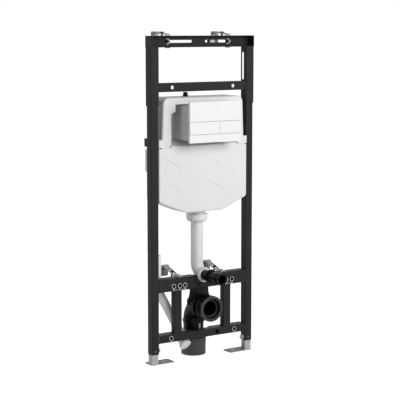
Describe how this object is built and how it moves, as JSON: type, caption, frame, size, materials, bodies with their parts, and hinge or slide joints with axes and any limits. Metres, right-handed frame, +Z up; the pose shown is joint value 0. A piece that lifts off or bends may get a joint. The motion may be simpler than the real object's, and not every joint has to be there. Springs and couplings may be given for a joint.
{
  "type": "wall hung toilet frame",
  "caption": "Steel installation frame on telescoping feet, with a concealed cistern, press plate, flush pipe, drain bend and wall brackets, for a wall hung toilet.",
  "frame": {"origin": "on the floor under the left leg's axis, on the sole of the left foot plate", "axes": "+X to the right seen from the front, +Y back towards the wall, +Z up"},
  "size_m": [0.505, 0.276, 1.356],
  "materials": {
    "frame_paint": "satin anthracite powder coat",
    "zinc": "galvanised, lightly mottled",
    "tank_plastic": "white moulded tank",
    "shaft_plastic": "mid grey moulded shaft",
    "plate_plastic": "white gloss",
    "pipe_plastic": "white pipe",
    "black_plastic": "black moulded pipe",
    "adapter_plastic": "dark grey moulded socket",
    "black_rubber": "black rubber"
  },
  "bodies": {
    "left_foot": {"left_foot": "zinc"},
    "frame": {"left_post": "frame_paint", "right_post": "frame_paint", "left_sleeve": "frame_paint", "right_sleeve": "frame_paint", "top_rail": "frame_paint", "upper_rail": "frame_paint", "stud_rail": "frame_paint", "bottom_rail": "frame_paint", "left_strut": "frame_paint", "right_strut": "frame_paint", "drain_hanger": "frame_paint", "left_clamp_bolt": "zinc", "right_clamp_bolt": "zinc", "left_low_bracket": "zinc", "right_low_bracket": "zinc", "left_high_bracket": "zinc", "right_high_bracket": "zinc", "left_stud_plate": "zinc", "right_stud_plate": "zinc", "left_anchor_bush": "zinc", "right_anchor_bush": "zinc", "drain_clamp": "zinc", "cistern_body": "tank_plastic", "cistern_cover": "tank_plastic", "service_shaft": "shaft_plastic", "flush_plate": "plate_plastic", "flush_nut": "pipe_plastic", "flush_pipe": "pipe_plastic", "conduit_pipe": "pipe_plastic", "conduit_cap": "pipe_plastic", "inlet_cap": "black_plastic", "drain_elbow": "black_plastic", "drain_socket": "black_plastic", "drain_adapter": "adapter_plastic", "flush_sleeve": "black_rubber", "drain_seal": "black_rubber"},
    "right_foot": {"right_foot": "zinc"},
    "large_button": {"large_button": "plate_plastic"},
    "small_button": {"small_button": "plate_plastic"}
  },
  "joints": [
    {"name": "frame_height", "type": "slide", "parent": "left_foot", "child": "frame", "axis": [0, 0, 1], "range_m": [0, 0.156]},
    {"name": "right_foot_extend", "type": "slide", "parent": "frame", "child": "right_foot", "axis": [0, 0, -1], "range_m": [0, 0.156]},
    {"name": "large_button_press", "type": "slide", "parent": "frame", "child": "large_button", "axis": [0, 1, 0], "range_m": [0, 0.003], "stiffness_N_per_m": 800},
    {"name": "small_button_press", "type": "slide", "parent": "frame", "child": "small_button", "axis": [0, 1, 0], "range_m": [0, 0.003], "stiffness_N_per_m": 800}
  ],
  "couplings": [
    {"joint": "right_foot_extend", "follows": "frame_height", "ratio": 1}
  ]
}
